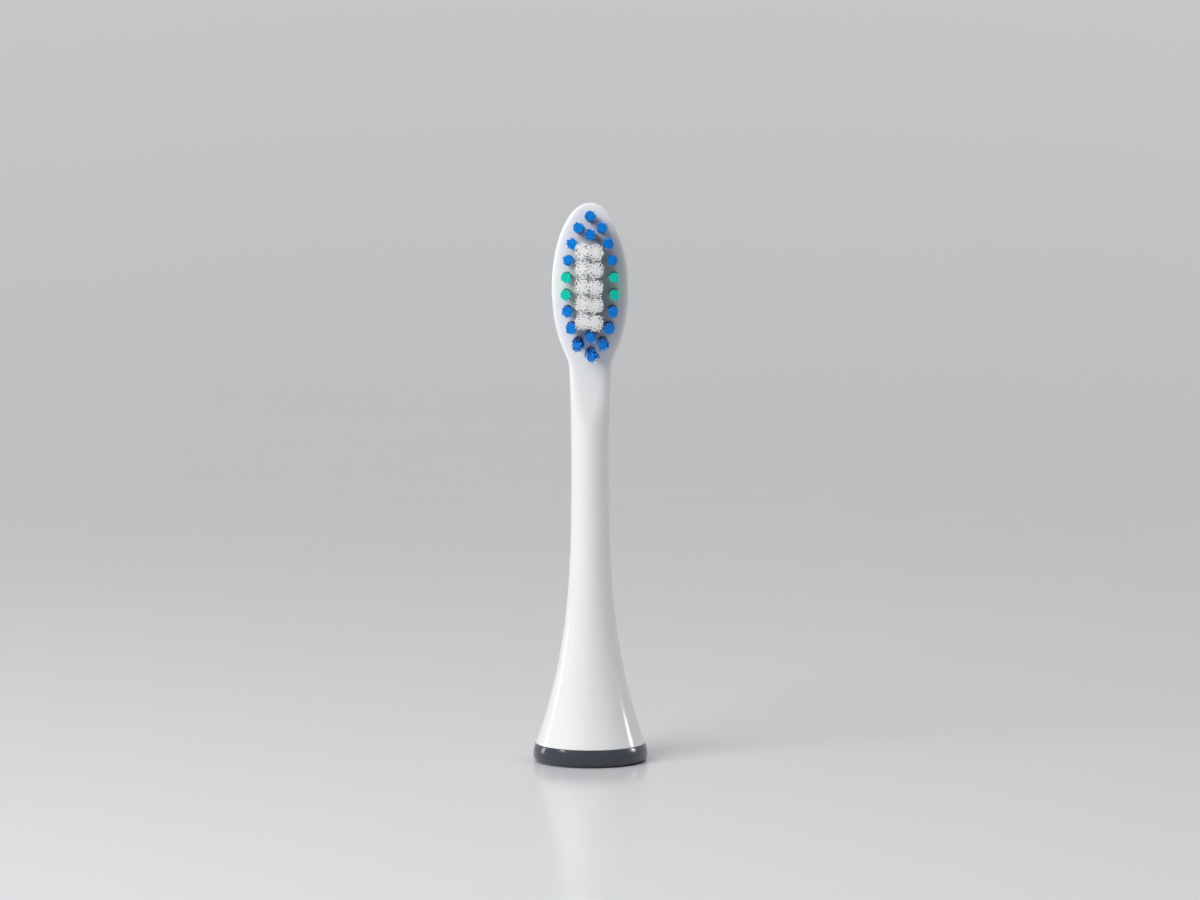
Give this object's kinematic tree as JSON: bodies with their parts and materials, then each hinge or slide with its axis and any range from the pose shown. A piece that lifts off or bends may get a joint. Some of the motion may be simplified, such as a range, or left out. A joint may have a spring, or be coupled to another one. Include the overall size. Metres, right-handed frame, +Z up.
{
  "type": "electric toothbrush head",
  "caption": "Push-on brush head for an electric toothbrush: slim neck on a flared skirt with a base ring, and an oval plate of blue, teal and white tufts.",
  "frame": {"origin": "centre of the base ring's foot, on the axis of the drive bore", "axes": "+Z up the neck to the brush's tip, -Y the way the bristles point, +X across the brush plate"},
  "size_m": [0.0186, 0.0219, 0.09],
  "materials": {
    "white_plastic": "glossy moulded white plastic",
    "ring_plastic": "glossy slate grey plastic",
    "socket_plastic": "natural low-friction plastic",
    "spring_steel": "rolled spring strip",
    "anchor_brass": "stamped brass strip",
    "blue_nylon": "blue nylon filaments",
    "teal_nylon": "teal nylon filaments",
    "white_nylon": "white nylon filaments"
  },
  "bodies": {
    "root": {"base_ring": "ring_plastic", "drive_socket": "socket_plastic", "neck_shell": "white_plastic", "shaft_clip": "spring_steel", "tuft_anchors": "anchor_brass", "tuft_blue_01": "blue_nylon", "tuft_blue_02": "blue_nylon", "tuft_blue_03": "blue_nylon", "tuft_blue_04": "blue_nylon", "tuft_blue_05": "blue_nylon", "tuft_blue_06": "blue_nylon", "tuft_blue_07": "blue_nylon", "tuft_blue_08": "blue_nylon", "tuft_blue_09": "blue_nylon", "tuft_blue_10": "blue_nylon", "tuft_blue_11": "blue_nylon", "tuft_blue_12": "blue_nylon", "tuft_blue_13": "blue_nylon", "tuft_blue_14": "blue_nylon", "tuft_blue_15": "blue_nylon", "tuft_blue_16": "blue_nylon", "tuft_teal_01": "teal_nylon", "tuft_teal_02": "teal_nylon", "tuft_teal_03": "teal_nylon", "tuft_teal_04": "teal_nylon", "tuft_white_01": "white_nylon", "tuft_white_02": "white_nylon", "tuft_white_03": "white_nylon", "tuft_white_04": "white_nylon", "tuft_white_05": "white_nylon", "tuft_white_06": "white_nylon", "tuft_white_07": "white_nylon", "tuft_white_08": "white_nylon", "tuft_white_09": "white_nylon", "tuft_white_10": "white_nylon"}
  },
  "joints": []
}
